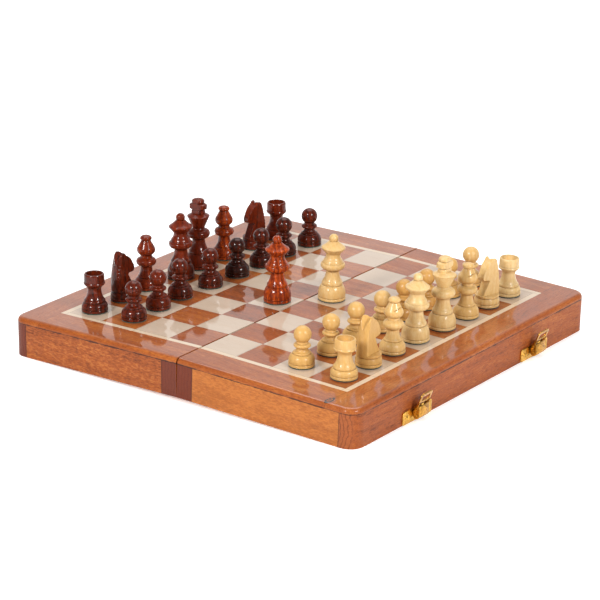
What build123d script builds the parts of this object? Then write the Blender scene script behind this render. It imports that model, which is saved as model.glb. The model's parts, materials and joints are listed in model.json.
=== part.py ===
# A wooden chess set in a folding box. Two shallow trays are hinged together at a seam: opened
# flat they carry the playing board on their backs, folded rim to rim they make the box.
# Frame: X across the seam (the dark army's half is at -X), Y along the seam, +Z up. The origin
# is on the table under the middle of the seam. Millimetres.
from build123d import *
from math import asin, atan2, cos, degrees, hypot, radians, sin, sqrt, tan
import os

# ---- board ----
square = 30.6              # side of one playing square
columns = 4                # columns of squares on each half
ranks = 8                  # squares along the seam
saw_kerf = 3.0             # lost from the seam squares when the panel is sawn in two
stringing = 4.2            # width of the pale line round the squares
side_border = 25.8         # border rail along the two sides that cross the seam
end_border = 24.5          # border rail at each outer end
half_height = 29.0         # rim to playing surface
top_thickness = 4.0        # border rails, and panel with its veneer
veneer = 1.0               # squares and stringing laid on the panel
edge_round = 3.5           # rounded-over upper edge
corner_radius = 11.0       # four outer corners in plan
# ---- trays ----
end_wall = 13.0
seam_wall = 13.0
side_wall = 12.0
felt = 0.5                 # lining of the trays
seam_gap = 0.1             # each seam face stands back from the hinge plane
rim_gap = 0.05             # each rim stands back from the hinge axis
# ---- butt hinges ----
hinge_place = 95.0         # hinge centres from the middle of the board
hinge_length = 26.0
barrel_radius = 2.75
pin_radius = 1.2
leaf_width = 11.0          # from the hinge axis
leaf_thickness = 1.0
knuckle_gap = 0.15
running_clearance = 0.05   # on the radius of anything that turns
mortise_clearance = 0.1
hinge_screw_x = 7.0
hinge_screw_y = 8.5
screw_head_radius = 1.9
screw_shank_radius = 0.9
screw_length = 9.0
screw_slot = 0.5
nail_clearance = 0.1       # on the radius of a screw or nail in its hole
# ---- draw latches: u is outwards from the end wall, w is away from the rim ----
latch_place = 77.0         # latch centres from the middle of the board
plate_length = 36.0
plate_height = 9.5
plate_foot = 0.3           # plate above the rim
plate_thickness = 0.9
plate_corner = 1.5
ear_nail = 13.5            # nails from the latch centre
nail_head_radius = 1.6
nail_head = 0.7
nail_radius = 0.7
nail_length = 9.0
sheet = 0.8                # brass sheet of lugs, levers, bails and hooks
lever_u = 3.8              # lever pivot from the wall
lever_w = 5.2              # lever pivot above the rim
lug_radius = 1.6
lug_inner = 4.2            # half the space between the two lugs
pivot_radius = 0.7
cheek_inner = 5.2          # half the space between the lever's cheeks
cheek_foot_radius = 2.6
cheek_tip_radius = 1.6
cheek_tip_u = 0.6          # tip of the cheek from the lever pivot
cheek_tip_w = 6.2
web_inner_u = 1.8          # lever's front web from its pivot
bail_u = -0.6              # bail pivot from the lever pivot
bail_w = 2.6
bail_eye_radius = 1.2
trunnion_radius = 0.6
arm_inner = 6.2            # half the space between the bail's arms
arm_depth = 1.6
bail_plate_start = 7.2     # along the bail from its pivot
window_start = 8.8
window_end = 12.8
bail_length = 15.2
window_half_width = 4.6
window_corner = 0.8
bail_corner = 2.6
bail_lean = 20.0           # degrees outwards from upright, as the bail rests when it is free
hook_clearance = 0.2       # between the hook and the bail's bar
hook_side_clearance = 0.2
hook_lip = 1.4
keeper_length = 30.0
keeper_height = 9.5
keeper_foot = 0.5
keeper_nail = 11.0
# ---- chessmen ----
pad = 0.8                  # green felt under each man
pad_inset = 0.2
groove = 0.5               # depth of the turned groove above the foot
king_radius = 10.2
queen_radius = 10.2
bishop_radius = 9.5
knight_radius = 9.5
rook_radius = 9.6
pawn_radius = 9.25
pawn_ball = 6.2
queen_ball = 3.4
finial_flat = 7.2          # king's finial across its flats
cheek_half = 5.3           # knight's cheek from its middle plane, low at the back
cheek_lean = 0.015         # the cheeks close in by this much per mm of height
cheek_close = 0.16         # and by this much per mm towards the face
cheek_foot = 9.3           # the cheeks stop here, above a round collar
ear_notch_low = 27.0       # where the notch between the ears starts up the back
ear_notch_rise = 50.0      # degrees its bottom climbs towards the forehead
ear_notch_half = 50.0      # degrees, half the notch's opening
mane_cuts = 6

# ---- sizes that follow ----
seam_square = square - saw_kerf / 2
field_length = seam_square + (columns - 1) * square
field_end = field_length + stringing
half_length = field_end + end_border
field_half = ranks * square / 2
field_side = field_half + stringing
half_width = field_side + side_border
wall_top = half_height - top_thickness
panel_top = half_height - veneer
tray_end = half_length - end_wall
tray_side = half_width - side_wall
# both outer rims and the hinge barrels touch the table together
tilt = degrees(asin(barrel_radius / hypot(half_length, rim_gap)) + atan2(rim_gap, half_length))


def block(low, high):
    """Box between two corners."""
    size = [high[i] - low[i] for i in range(3)]
    middle = [(high[i] + low[i]) / 2 for i in range(3)]
    return Pos(*middle) * Box(*size)


def rod(start, end, radius):
    """Round bar from one point to another."""
    direction = Vector(*end) - Vector(*start)
    return Solid.make_cylinder(radius, direction.length, Plane(origin=start, z_dir=direction))


def place(piece, side):
    """A piece built for the half at +X, put on that half (side 1) or the other one (side -1)."""
    if side < 0:
        piece = mirror(piece, about=Plane.YZ)
    return Pos(0, 0, barrel_radius) * Rot(0, side * tilt, 0) * piece


def solids_of(*pieces):
    return [solid for piece in pieces for solid in piece.solids()]


def save(node, *pieces):
    solids = solids_of(*pieces)
    shape = solids[0] if len(solids) == 1 else Compound(children=solids)
    shape.label = node
    export_step(shape, f"parts/{node}.step")


# ---- wooden halves, built for the half at +X with the hinge axis on Y and the rim at Z = 0 ----
def outline(thickness):
    """Plan of a half: square at the seam, rounded at the two outer corners."""
    plan = Pos((half_length + seam_gap) / 2, 0) * Rectangle(half_length - seam_gap, 2 * half_width)
    outer = plan.vertices().filter_by_position(Axis.X, half_length - 1, half_length + 1)
    return extrude(fillet(outer, corner_radius), thickness)


def column_edges(column):
    """Inner and outer edge of a column of squares, counted from the seam."""
    inner = seam_gap if column == 0 else seam_square + (column - 1) * square
    return inner, seam_square + column * square


def squares(side, dark):
    """The dark or the light squares of one half; the near left corner of the board is light."""
    tiles = []
    for column in range(columns):
        inner, outer = column_edges(column)
        board_column = columns + column if side > 0 else columns - 1 - column
        for rank in range(ranks):
            if (board_column + rank) % 2 == dark:
                low = rank * square - field_half
                tiles.append(block((inner, low, panel_top), (outer, low + square, half_height)))
    return tiles


def stringing_lines():
    end = block((field_length, -field_side, panel_top), (field_end, field_side, half_height))
    sides = [block((seam_gap, min(y, y + s * stringing), panel_top),
                   (field_length, max(y, y + s * stringing), half_height))
             for s, y in ((1, field_half), (-1, -field_half))]
    return [end] + sides


def border_rails():
    """Rails glued on the walls: the end rail runs right across, the side rails butt against it."""
    slab = Pos(0, 0, wall_top) * outline(top_thickness)
    rim = [edge for edge in slab.faces().sort_by(Axis.Z)[-1].edges() if edge.center().X > 1]
    slab = fillet(rim, edge_round)
    slab -= block((0, -field_side, 0), (field_end, field_side, half_height + 1))
    end = slab & block((field_end, -half_width, 0), (half_length, half_width, half_height))
    sides = slab & block((0, -half_width, 0), (field_end, half_width, half_height))
    return [end, sides]


def board_panel():
    return block((seam_gap, -field_side, wall_top), (field_end, field_side, panel_top))


def nail_holes(places):
    """Holes in the end wall for nails at (y, z) places."""
    start = half_length - nail_length
    radius = nail_radius + nail_clearance
    return [rod((start, y, z), (half_length + 1, y, z), radius) for y, z in places]


def outer_wall(places):
    wall = Pos(0, 0, rim_gap) * outline(wall_top - rim_gap)
    wall = wall & block((tray_end, -half_width, 0), (half_length, half_width, wall_top))
    for hole in nail_holes(places):
        wall -= hole
    return wall


def side_walls():
    return [block((seam_wall, min(s * tray_side, s * half_width), rim_gap),
                  (tray_end, max(s * tray_side, s * half_width), wall_top)) for s in (1, -1)]


def inner_wall():
    """Wall at the seam, with mortises for the hinge leaves and round notches for the barrels."""
    wall = block((seam_gap, -half_width, rim_gap), (seam_wall, half_width, wall_top))
    reach = hinge_length / 2 + mortise_clearance
    for y in (-hinge_place, hinge_place):
        wall -= rod((0, y - reach, 0), (0, y + reach, 0), barrel_radius + mortise_clearance)
        wall -= block((0, y - reach, 0),
                      (leaf_width + mortise_clearance, y + reach, rim_gap + leaf_thickness))
        for offset in (-hinge_screw_y, hinge_screw_y):
            foot = (hinge_screw_x, y + offset, 0)
            top = (hinge_screw_x, y + offset, rim_gap + screw_length)
            wall -= rod(foot, top, screw_shank_radius + nail_clearance)
    return wall


def tray_lining():
    return block((seam_wall, -tray_side, wall_top - felt), (tray_end, tray_side, wall_top))


# ---- hinges ----
def knuckle_spans(side):
    """Three knuckles: the middle one belongs to the half at +X, the outer two to the other."""
    third = hinge_length / 3
    gap = knuckle_gap / 2
    if side > 0:
        return [(-third / 2 + gap, third / 2 - gap)]
    return [(-hinge_length / 2, -third / 2 - gap), (third / 2 + gap, hinge_length / 2)]


def countersink():
    """Cone under a screw head, its mouth on the rim side of the leaf."""
    return Pos(0, 0, rim_gap + leaf_thickness / 2) * Cone(
        screw_head_radius, screw_shank_radius, leaf_thickness)


def hinge_leaf(side, y):
    swing = barrel_radius + knuckle_gap
    half = hinge_length / 2
    leaf = block((swing, y - half, rim_gap), (leaf_width, y + half, rim_gap + leaf_thickness))
    for low, high in knuckle_spans(side):
        leaf += block((0, y + low, rim_gap), (swing, y + high, rim_gap + leaf_thickness))
        leaf += rod((0, y + low, 0), (0, y + high, 0), barrel_radius)
    bore = pin_radius + (running_clearance if side > 0 else 0)
    leaf -= rod((0, y - half, 0), (0, y + half, 0), bore)
    for offset in (-hinge_screw_y, hinge_screw_y):
        leaf -= Pos(hinge_screw_x, y + offset, 0) * countersink()
    return leaf


def hinge_pin(y):
    return rod((0, y - hinge_length / 2, 0), (0, y + hinge_length / 2, 0), pin_radius)


def hinge_screw(y):
    head = countersink()
    neck = rim_gap + leaf_thickness
    shank = rod((0, 0, neck), (0, 0, rim_gap + screw_length), screw_shank_radius)
    slot = block((-screw_head_radius, -screw_slot / 2, 0),
                 (screw_head_radius, screw_slot / 2, rim_gap + screw_slot))
    return Pos(hinge_screw_x, y, 0) * (head + shank - slot)


# ---- latches, built at the end wall of the half at +X ----
def nail(y, z):
    """Round-headed nail through a plate on the end wall."""
    runs = [(nail_radius, plate_thickness), (nail_head_radius, plate_thickness),
            dome(nail_head_radius, plate_thickness, plate_thickness + nail_head)]
    return Pos(half_length, y, z) * Rot(0, 90, 0) * turned((nail_radius, -nail_length), runs)


def wall_plate(y, length, height, foot, nail_offset):
    """Flat brass plate with rounded corners and its nail holes."""
    middle = foot + height / 2
    plan = Plane(origin=(half_length, y, middle), x_dir=(0, 1, 0), z_dir=(1, 0, 0))
    plate = extrude(plan * RectangleRounded(length, height, plate_corner), plate_thickness)
    for offset in (-nail_offset, nail_offset):
        plate -= rod((half_length - 1, y + offset, middle),
                     (half_length + 2, y + offset, middle), nail_radius + nail_clearance)
    return plate


def latch_nails():
    middle = plate_foot + plate_height / 2
    return [(s * latch_place + e * ear_nail, middle) for s in (1, -1) for e in (1, -1)]


def keeper_nails():
    middle = keeper_foot + keeper_height / 2
    return [(s * latch_place + e * keeper_nail, middle) for s in (1, -1) for e in (1, -1)]


def lever_pivot(y):
    return half_length + lever_u, y, lever_w


def bail_pivot(y):
    return half_length + lever_u + bail_u, y, lever_w + bail_w


def latch_base(y):
    u, _, w = lever_pivot(y)
    base = wall_plate(y, plate_length, plate_height, plate_foot, ear_nail)
    for s in (1, -1):
        near, far = y + s * lug_inner, y + s * (lug_inner + sheet)
        tip = y + s * (cheek_inner + sheet)
        base += block((half_length, min(near, far), w - lug_radius),
                      (u, max(near, far), w + lug_radius))
        base += rod((u, near, w), (u, far, w), lug_radius)
        base += rod((u, near, w), (u, tip, w), pivot_radius)
    return base


def latch_lever(y):
    """Channel: two cheeks outside the lugs, joined by a web on the side away from the wall."""
    u, _, w = lever_pivot(y)
    outer = cheek_inner + sheet
    lever = None
    for radius, du, dw in ((cheek_foot_radius, 0, 0), (cheek_tip_radius, cheek_tip_u, cheek_tip_w)):
        disc = Pos(du, dw) * Circle(radius)
        lever = disc if lever is None else make_hull(lever.edges() + disc.edges())
    side = Plane(origin=(u, y + outer, w), x_dir=(1, 0, 0), z_dir=(0, -1, 0))
    lever = extrude(side * lever, 2 * outer)
    reach = cheek_tip_w + cheek_tip_radius
    lever -= block((u - reach, y - cheek_inner, w - reach),
                   (u + web_inner_u, y + cheek_inner, w + reach))
    lever -= rod((u, y - outer, w), (u, y + outer, w), pivot_radius + running_clearance)
    pu, _, pw = bail_pivot(y)
    lever -= rod((pu, y - outer, pw), (pu, y + outer, pw), trunnion_radius + running_clearance)
    return lever


def latch_bail(y):
    """Stamped bail: two arms on the lever's outer sides and a plate with a window."""
    outer = arm_inner + sheet
    rounded = RectangleRounded(2 * outer, 2 * (bail_length - bail_plate_start), bail_corner)
    middle = (bail_plate_start + bail_length) / 2
    plan = Pos(0, bail_plate_start) * rounded
    plan &= Pos(0, middle) * Rectangle(2 * outer, bail_length - bail_plate_start)
    window = Pos(0, (window_start + window_end) / 2) * RectangleRounded(
        2 * window_half_width, window_end - window_start, window_corner)
    front = Plane(origin=(-sheet / 2, 0, 0), x_dir=(0, 1, 0), z_dir=(1, 0, 0))
    bail = extrude(front * (plan - window), sheet)
    for s in (1, -1):
        near, far = s * arm_inner, s * outer
        bail += block((-arm_depth / 2, min(near, far), 0),
                      (arm_depth / 2, max(near, far), bail_plate_start + sheet))
        bail += rod((0, near, 0), (0, far, 0), bail_eye_radius)
        bail += rod((0, s * (cheek_inner + running_clearance), 0), (0, far, 0), trunnion_radius)
    return Pos(*bail_pivot(y)) * Rot(0, bail_lean, 0) * bail


def keeper(y):
    """Plate with a hook that holds the bail's end bar while the box is closed."""
    pu, _, pw = bail_pivot(y)
    bar_edge = window_end - pw         # upper edge of the bar below the closed rims
    hook_low = bar_edge - hook_clearance - sheet
    reach = pu + sheet / 2 + 2 * hook_clearance + sheet
    plate = wall_plate(y, keeper_length, keeper_height, keeper_foot, keeper_nail)
    half = window_half_width - window_corner - hook_side_clearance
    tab = block((half_length, y - half, hook_low), (reach, y + half, hook_low + sheet))
    lip = block((reach - sheet, y - half, hook_low), (reach, y + half, hook_low + sheet + hook_lip))
    return plate + tab + lip


# ---- chessmen: outlines are (radius, height) runs; a run of two points is an arc's middle and end
def turned(start, runs):
    """Solid turned round Z from an outline that starts and ends on the axis."""
    path = [Line((0, start[1]), start)]
    point = start
    for run in runs:
        if len(run) == 2 and isinstance(run[0], tuple):
            path.append(ThreePointArc(point, run[0], run[1]))
            point = run[1]
        else:
            path.append(Line(point, run))
            point = run
    path.append(Line(point, (0, start[1])))
    edges = [Plane.XZ * segment for segment in path if segment.length > 1e-6]
    return revolve(make_face(edges), Axis.Z)


def foot(radius):
    """Foot ring and groove shared by every man."""
    return [(radius, pad + 0.3), (radius, 2.6), (radius - groove, 2.9), (radius - 0.2, 3.4)]


def ball(radius, centre, neck):
    """Arc of a ball that ends on the axis, starting where the neck meets it."""
    low = centre - sqrt(radius ** 2 - neck ** 2)
    return [(neck, low), ((radius, centre), (0, centre + radius))]


def dome(radius, height, top):
    """Arc of a shallow ball from a rim up to the axis."""
    rise = top - height
    curve = (radius ** 2 + rise ** 2) / (2 * rise)
    return (radius / 2, top - curve + sqrt(curve ** 2 - radius ** 2 / 4)), (0, top)


def pawn():
    runs = foot(pawn_radius) + [((8.8, 6.7), (6.9, 9.2)), (6.3, 9.3), ((6.4, 10.0), (5.6, 10.7)),
                                ((4.3, 12.0), (4.0, 13.8)), (5.2, 14.1), ((6.0, 15.3), (5.2, 16.5)),
                                (4.2, 16.8)] + ball(pawn_ball, 23.2, 3.9)
    return turned((pawn_radius - 0.3, pad), runs)


def rook():
    rim, well = 7.3, 5.8
    runs = foot(rook_radius) + [((9.2, 5.6), (8.1, 7.2)), (7.6, 7.4), ((7.8, 8.5), (7.0, 9.8)),
                                ((5.5, 13.2), (5.0, 18.0)), (5.4, 18.9), (7.3, 20.8),
                                ((7.8, 21.5), (7.7, 22.3)), (rim + 0.1, 22.7), (rim, 28.0),
                                (rim - 0.4, 28.9), (well + 0.2, 28.9), (well, 28.6),
                                (well - 0.3, 25.2), (0, 24.8)]
    return turned((rook_radius - 0.3, pad), runs)


def bishop():
    runs = foot(bishop_radius) + [((8.7, 6.6), (6.7, 9.0)), (6.2, 9.2), ((6.3, 10.0), (5.7, 10.8)),
                                  ((4.7, 13.8), (4.3, 17.6)), (4.8, 18.2), ((7.4, 21.2), (5.2, 23.9)),
                                  (4.3, 24.6), (4.3, 26.4), ((6.7, 29.4), (6.1, 32.4)), (3.6, 37.0),
                                  (3.3, 37.5), ((4.3, 39.0), (3.3, 40.5)), dome(3.3, 40.5, 41.3)]
    slit = Pos(5.2, 0, 33.8) * Rot(0, -38, 0) * Box(5.0, 14, 0.6)
    return turned((bishop_radius - 0.3, pad), runs) - slit


def royal_stem(radius):
    """Bell, shoulder ring and concave stem shared by king and queen."""
    return foot(radius) + [((9.6, 8.2), (7.9, 11.6)), (7.4, 11.9), ((7.6, 13.3), (6.8, 14.9)),
                           ((5.3, 18.6), (4.8, 22.8))]


def queen():
    runs = royal_stem(queen_radius) + [(6.0, 23.6), ((8.8, 25.9), (8.6, 28.2)), (7.6, 28.8),
                                       ((7.0, 30.4), (6.1, 31.8)), ((5.3, 33.8), (5.3, 35.8)),
                                       (6.2, 36.6), (8.5, 39.3), ((8.8, 40.1), (8.4, 40.8)),
                                       ((5.6, 42.9), (3.3, 45.2))] + ball(queen_ball, 47.0, 2.5)
    return turned((queen_radius - 0.3, pad), runs)


def king():
    runs = royal_stem(king_radius) + [(5.4, 23.6), ((8.6, 27.2), (6.2, 30.2)), (5.0, 30.7),
                                      (4.5, 31.6), (8.2, 40.2), ((8.5, 40.7), (8.1, 41.2)),
                                      (4.8, 42.9), (0, 42.9)]
    finial = turned((5.2, 42.6), [(5.3, 44.6), (4.5, 45.6), (6.7, 46.7), (6.7, 49.8), (4.4, 50.8),
                                  (4.8, 51.6), ((4.4, 53.3), (3.4, 53.9)), dome(3.4, 53.9, 54.4)])
    flats = Pos(0, 0, 48) * Box(20, finial_flat, 20)
    return turned((king_radius - 0.3, pad), runs) + (finial & flats)


def knight_blank(height):
    """Radius of the round blank that the knight's back keeps."""
    return 8.9 - 3.4 * max(0.0, (height - 17.0) / 20.0) ** 1.5


def cheek_at(y, height):
    return cheek_half - cheek_lean * (height - 8.0) - cheek_close * (y + 7.0)


def knight(cuts):
    """Turned drum with a carved head that looks along +Y."""
    runs = foot(knight_radius) + [((9.3, 5.2), (8.7, 6.9)), (8.2, 7.3), (8.2, 8.0), (0, 8.0)]
    drum = turned((knight_radius - 0.3, pad), runs)
    levels = [7.8, 11.0, 14.0, 18.0, 22.0, 26.0, 30.0, 34.0, 37.0]
    rounding = [Plane.XZ * edge for edge in (
        Line((0, levels[0]), (knight_blank(levels[0]), levels[0])),
        Spline([(knight_blank(level), level) for level in levels]),
        Line((knight_blank(levels[-1]), levels[-1]), (0, levels[-1])),
        Line((0, levels[-1]), (0, levels[0])))]
    blank = revolve(make_face(rounding), Axis.Z) + block((-8, 0, 11), (8, 12, 37))
    profile = Polyline((7.9, cheek_foot), (9.5, 9.1), (9.5, 7.8), (-9.5, 7.8), (-9.5, 30.0), (-3.0, 36.6),
                       (-1.2, 36.5), (0.7, 34.0), (6.9, 27.4), (8.3, 24.6), (7.4, 21.2), (3.0, 20.8),
                       (2.3, 20.0))
    chest = ThreePointArc((2.3, 20.0), (4.9, 14.8), (7.9, cheek_foot))
    side = Plane(origin=(0, 0, 0), x_dir=(0, 1, 0), z_dir=(1, 0, 0))
    head = extrude(side * make_face(profile.edges() + [chest]), 12, both=True) & blank
    for s in (1, -1):
        cheek = Plane(origin=(s * cheek_half, -7, 8), z_dir=(s, cheek_close, cheek_lean))
        waste = cheek * Pos(0, 0, 20) * Box(80, 80, 40)
        head -= waste & block((-40, -40, cheek_foot), (40, 40, 40))
    spread = 20 * tan(radians(ear_notch_half))
    notch = Polyline((0, 0), (spread, 20), (-spread, 20), (0, 0))
    back = -knight_blank(ear_notch_low)
    climb = Plane(origin=(0, back, ear_notch_low), x_dir=(1, 0, 0),
                  z_dir=(0, -cos(radians(ear_notch_rise)), -sin(radians(ear_notch_rise))))
    head -= extrude(climb * make_face(notch), 30, both=True)
    for cut in range(cuts):
        height = 15.0 + 2.6 * cut
        x = cheek_at(-knight_blank(height) * 0.8, height)
        y = -sqrt(knight_blank(height) ** 2 - x ** 2)
        for s in (1, -1):
            head -= Pos(s * x, y, height) * Rot(0, 0, s * 45) * Rot(45, 0, 0) * Box(4, 0.6, 0.6)
    return drum + head


def felt_pad(radius):
    return rod((0, 0, 0), (0, 0, pad), radius - pad_inset)


foot_radius = {"king": king_radius, "queen": queen_radius, "bishop": bishop_radius,
               "knight": knight_radius, "rook": rook_radius, "pawn": pawn_radius}
back_rank = ["rook", "knight", "bishop", "queen", "king", "bishop", "knight", "rook"]
files = "abcdefgh"
rank_of_men = 3.5          # columns from the seam to the back rank
rank_of_pawns = 2.5
# how far each man stands from the middle of its square towards +X and +Y, set down by hand
stray = {
    "dark_rook_a": (-2.2, -2.0), "dark_knight_b": (-1.6, -0.4), "dark_bishop_c": (-3.8, -1.0),
    "dark_queen_d": (1.6, 3.0), "dark_king_e": (-2.4, -0.6), "dark_bishop_f": (-1.0, -1.2),
    "dark_knight_g": (2.8, 1.4), "dark_rook_h": (2.2, 1.0), "dark_pawn_a": (1.4, 0.6),
    "dark_pawn_b": (0.2, -0.4), "dark_pawn_c": (-2.2, -2.0), "dark_pawn_d": (0.8, 0.2),
    "dark_pawn_e": (2.0, 1.0), "dark_pawn_f": (2.8, 0.0), "dark_pawn_g": (0.6, 1.6),
    "dark_pawn_h": (2.8, 1.4), "light_rook_a": (3.0, 0.4), "light_knight_b": (2.6, 0.0),
    "light_bishop_c": (1.4, 0.6), "light_queen_d": (0.8, 0.2), "light_king_e": (1.8, 2.4),
    "light_bishop_f": (2.8, 2.4), "light_knight_g": (2.0, 1.0), "light_rook_h": (1.4, 0.6),
    "light_pawn_a": (-1.6, -0.2), "light_pawn_b": (0.0, 1.2), "light_pawn_c": (0.0, 1.2),
    "light_pawn_d": (1.2, 2.0), "light_pawn_e": (0.0, 1.2), "light_pawn_f": (0.2, -0.4),
    "light_pawn_g": (-0.6, 0.8), "light_pawn_h": (-1.4, 0.8), "dark_spare_queen": (0.0, 1.2),
    "light_spare_queen": (-0.4, -0.8),
}
# degrees a man is twisted counter-clockwise, seen from above, from facing along the ranks
twist = {"light_king_e": 90, "dark_knight_b": -14, "light_knight_g": -6, "dark_knight_g": -10}


def stand(name, kind, shape, side, column, row, turn=0):
    """Put a man and its felt on the board; column and row count squares from the seam's middle."""
    x = column * square - saw_kerf / 2 + side * stray[name][0]
    y = row * square + stray[name][1]
    turn += side * twist.get(name, 0)
    wood = Pos(x, y, half_height) * Rot(0, 0, turn) * shape
    cloth = Pos(x, y, half_height) * felt_pad(foot_radius[kind])
    return place(wood, side), place(cloth, side)


def chessmen():
    shapes = {"king": king(), "queen": queen(), "bishop": bishop(), "rook": rook(), "pawn": pawn()}
    for army, side, cuts in (("dark", -1, mane_cuts), ("light", 1, 0)):
        shapes["knight"] = knight(cuts)
        for number, kind in enumerate(back_rank):
            row = number - 3.5
            turn = 180 if kind == "knight" and row > 0 else 0
            name = f"{army}_{kind}_{files[number]}"
            save(name, *stand(name, kind, shapes[kind], side, rank_of_men, row, turn))
            name = f"{army}_pawn_{files[number]}"
            save(name, *stand(name, "pawn", shapes["pawn"], side, rank_of_pawns, row))
        name = f"{army}_spare_queen"
        save(name, *stand(name, "queen", shapes["queen"], side, 0.5, 0.5 * side))


def wooden_half(name, side):
    places = latch_nails() if side > 0 else keeper_nails()
    save(f"{name}_board_panel", place(board_panel(), side))
    save(f"{name}_dark_squares", *[place(tile, side) for tile in squares(side, 1)])
    maple = squares(side, 0) + stringing_lines()
    save(f"{name}_maple_inlay", *[place(tile, side) for tile in maple])
    save(f"{name}_border", *[place(rail, side) for rail in border_rails()])
    save(f"{name}_end_wall", place(outer_wall(places), side))
    save(f"{name}_seam_wall", place(inner_wall(), side))
    save(f"{name}_side_walls", *[place(wall, side) for wall in side_walls()])
    save(f"{name}_felt_lining", place(tray_lining(), side))


def hinges():
    ends = (-hinge_place, hinge_place)
    for name, side in (("left", -1), ("right", 1)):
        leaves = [place(hinge_leaf(side, y), side) for y in ends]
        pins = [place(hinge_pin(y), side) for y in ends if side < 0]
        save(f"hinge_leaves_{name}", *leaves, *pins)
        screws = [place(hinge_screw(y + offset), side)
                  for y in ends for offset in (-hinge_screw_y, hinge_screw_y)]
        save(f"hinge_screws_{name}", *screws)


def latches():
    spots = {"front": -latch_place, "rear": latch_place}
    bases = [place(latch_base(y), 1) for y in spots.values()]
    save("latch_bases", *bases, *[place(nail(y, z), 1) for y, z in latch_nails()])
    hooks = [place(keeper(y), -1) for y in spots.values()]
    save("latch_keepers", *hooks, *[place(nail(y, z), -1) for y, z in keeper_nails()])
    for name, y in spots.items():
        save(f"latch_lever_{name}", place(latch_lever(y), 1))
        save(f"latch_bail_{name}", place(latch_bail(y), 1))


os.makedirs("parts", exist_ok=True)
wooden_half("left", -1)
wooden_half("right", 1)
hinges()
latches()
chessmen()
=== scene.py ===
import json
from math import asin, cos, pi, radians, sin
import bpy
import numpy as np
from mathutils import Matrix, Vector


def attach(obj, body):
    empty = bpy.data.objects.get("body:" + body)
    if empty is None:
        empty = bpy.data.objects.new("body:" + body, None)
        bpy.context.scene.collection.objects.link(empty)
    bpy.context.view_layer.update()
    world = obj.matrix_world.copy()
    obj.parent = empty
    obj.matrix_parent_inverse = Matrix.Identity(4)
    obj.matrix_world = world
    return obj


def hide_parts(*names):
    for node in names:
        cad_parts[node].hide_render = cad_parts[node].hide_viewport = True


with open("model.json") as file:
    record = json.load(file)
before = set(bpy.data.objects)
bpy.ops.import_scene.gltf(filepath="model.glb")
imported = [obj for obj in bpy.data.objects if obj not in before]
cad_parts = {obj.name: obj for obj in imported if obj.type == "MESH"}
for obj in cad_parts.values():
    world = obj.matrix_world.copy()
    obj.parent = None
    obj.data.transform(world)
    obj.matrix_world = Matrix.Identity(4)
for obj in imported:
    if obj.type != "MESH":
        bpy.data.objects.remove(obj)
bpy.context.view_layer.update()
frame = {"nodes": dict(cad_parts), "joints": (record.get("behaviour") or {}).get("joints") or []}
nodes = frame["nodes"]
joints = {joint["name"]: joint for joint in frame["joints"]}
mm = 0.001
scene = bpy.context.scene
print("frame loaded:", len(nodes), "nodes")

# the board plan, in metres, the same on both halves
board = {
    "square": 0.0306,
    "kerf": 0.0015,          # what each seam square lost to the saw
    "columns": 4,
    "ranks": 8,
    "stringing": 0.0042,
    "glueLine": 0.00011,
    "barrel": 0.00275,       # the hinge axis stands this high above the table
    "railFoot": 0.025,       # height on a half where its border rails meet the walls
    "seamJoint": 0.0131,     # the side walls meet the seam wall and the end wall here
    "endJoint": 0.1366,
}
fieldEnd = board["columns"] * board["square"] - board["kerf"] + board["stringing"]
fieldSide = board["ranks"] / 2 * board["square"] + board["stringing"]
# each man lifts square to the half that it stands on, which gives the halves' tilt
tilt = asin(abs(joints["lift_light_king_e"]["axis"][0]))


class Maker:
    # Adds nodes to one tree and wires them: a socket is linked, anything else is set.
    def __init__(self, tree):
        self.tree = tree

    def feed(self, sockets, values):
        for key, value in values.items():
            if isinstance(value, bpy.types.NodeSocket):
                self.tree.links.new(value, sockets[key])
            else:
                sockets[key].default_value = value

    def add(self, kind, values=None, **settings):
        node = self.tree.nodes.new("ShaderNode" + kind)
        for key, value in settings.items():
            setattr(node, key, value)
        self.feed(node.inputs, values or {})
        return node

    def math(self, operation, *values):
        return self.add("Math", dict(enumerate(values)), operation=operation).outputs[0]

    def vector(self, operation, *values):
        node = self.add("VectorMath", dict(enumerate(values)), operation=operation)
        return node.outputs[1 if operation in ("DOT_PRODUCT", "LENGTH") else 0]

    def mix(self, share, low, high):
        return self.add("Mix", {0: share, 6: low, 7: high}, data_type="RGBA").outputs[2]

    def noise(self, vector, scale, detail=4.0, roughness=0.55, distortion=0.0):
        values = {"Vector": vector, "Scale": scale, "Detail": detail, "Roughness": roughness,
                  "Distortion": distortion}
        return self.add("TexNoise", values).outputs[0]

    def ease(self, value, low, high, start=0.0, end=1.0):
        values = {"Value": value, 1: low, 2: high, 3: start, 4: end}
        return self.add("MapRange", values, interpolation_type="SMOOTHSTEP").outputs[0]

    def total(self, *values):
        # Sum of value times weight pairs.
        result = 0.0
        for value, weight in values:
            result = self.math("MULTIPLY_ADD", value, weight, result)
        return result

    def split(self, vector):
        return self.add("SeparateXYZ", {0: vector}).outputs

    def join(self, x, y, z):
        return self.add("CombineXYZ", {0: x, 1: y, 2: z}).outputs[0]

    def bump(self, height, distance, strength=1.0):
        return self.add("Bump", {"Height": height, "Distance": distance, "Strength": strength}).outputs[0]

    def use(self, tree, values):
        return self.add("Group", values, node_tree=tree).outputs


def group(name, takes, gives):
    # An empty shared effect: takes are {socket name: "vector" or a default}, gives are names.
    tree = bpy.data.node_groups.new(name, "ShaderNodeTree")
    for socket, value in takes.items():
        kind = "NodeSocketVector" if value == "vector" else "NodeSocketFloat"
        item = tree.interface.new_socket(name=socket, in_out="INPUT", socket_type=kind)
        if value != "vector":
            item.default_value = value
    for socket in gives:
        tree.interface.new_socket(name=socket, in_out="OUTPUT", socket_type="NodeSocketFloat")
    taken, given = tree.nodes.new("NodeGroupInput"), tree.nodes.new("NodeGroupOutput")
    return Maker(tree), taken.outputs, given.inputs


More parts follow.
